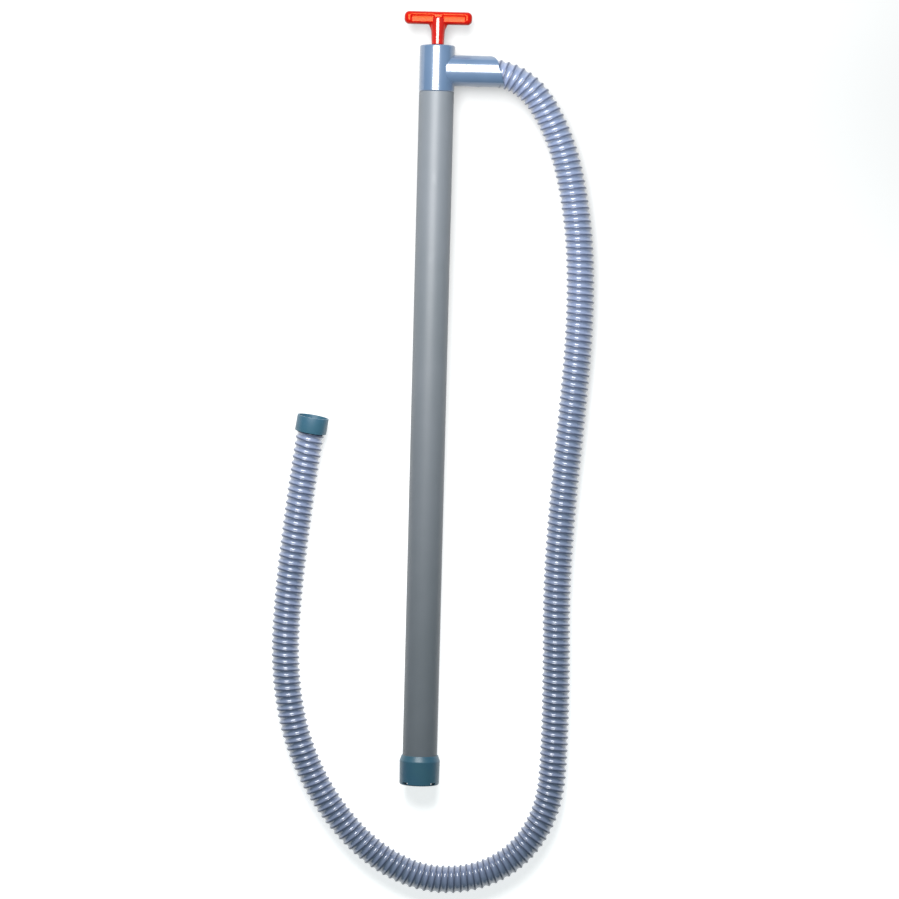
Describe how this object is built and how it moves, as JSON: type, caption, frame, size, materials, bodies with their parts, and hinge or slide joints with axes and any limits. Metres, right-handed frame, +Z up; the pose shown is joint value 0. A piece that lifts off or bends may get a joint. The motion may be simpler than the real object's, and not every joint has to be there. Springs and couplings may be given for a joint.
{
  "type": "hand piston transfer pump",
  "caption": "Hand piston pump laid on its side: long barrel with foot valve, T-handle on a sliding rod, side spout and a long corrugated hose with an end collar.",
  "frame": {"origin": "on the surface it lies on, under the middle of the pump's box without the hose", "axes": "+Y along the barrel from the foot to the handle, +X towards the spout, +Z up from the surface"},
  "size_m": [0.3897, 1.0932, 0.0504],
  "materials": {
    "head_plastic": "glossy moulded plastic, blue-grey",
    "barrel_plastic": "extruded plastic pipe, satin grey",
    "fitting_plastic": "moulded plastic, dark teal, soft gloss",
    "hose_plastic": "ribbed flexible plastic, lavender blue",
    "handle_plastic": "glossy moulded plastic, red",
    "seal_rubber": "moulded rubber, black",
    "inner_plastic": "moulded plastic, natural white",
    "rod_plastic": "drawn plastic rod, light grey",
    "fastener_steel": "plain stainless steel"
  },
  "bodies": {
    "barrel": {"barrel_tube": "barrel_plastic", "pump_head": "head_plastic", "rod_guide_bush": "inner_plastic", "rod_seal": "seal_rubber", "seal_retainer": "inner_plastic", "rod_wiper": "seal_rubber", "foot_cap": "fitting_plastic", "foot_strainer": "inner_plastic", "foot_gasket": "seal_rubber", "foot_valve_seat": "inner_plastic", "foot_valve_pin": "inner_plastic", "foot_valve_clip": "inner_plastic", "discharge_hose": "hose_plastic", "hose_end_collar": "fitting_plastic"},
    "foot_valve": {"foot_valve_disc": "seal_rubber"},
    "piston": {"piston_body": "inner_plastic", "piston_cup": "seal_rubber", "piston_follower": "inner_plastic", "piston_guide": "inner_plastic"},
    "piston_valve": {"piston_valve_disc": "seal_rubber"},
    "rod": {"piston_rod": "rod_plastic", "t_handle": "handle_plastic", "piston_washer": "fastener_steel", "piston_nut": "fastener_steel"}
  },
  "joints": [
    {"name": "piston_stroke", "type": "slide", "parent": "barrel", "child": "piston", "axis": [0, 1, 0], "range_m": [0, 0.77]},
    {"name": "rod_turn", "type": "hinge", "parent": "piston", "child": "rod", "pos_m": [-0.0211, -0.47835, 0.0252], "axis": [0, 1, 0], "continuous": true},
    {"name": "piston_valve_lift", "type": "slide", "parent": "piston", "child": "piston_valve", "axis": [0, 1, 0], "range_m": [0, 0.003]},
    {"name": "foot_valve_lift", "type": "slide", "parent": "barrel", "child": "foot_valve", "axis": [0, 1, 0], "range_m": [0, 0.004]}
  ]
}
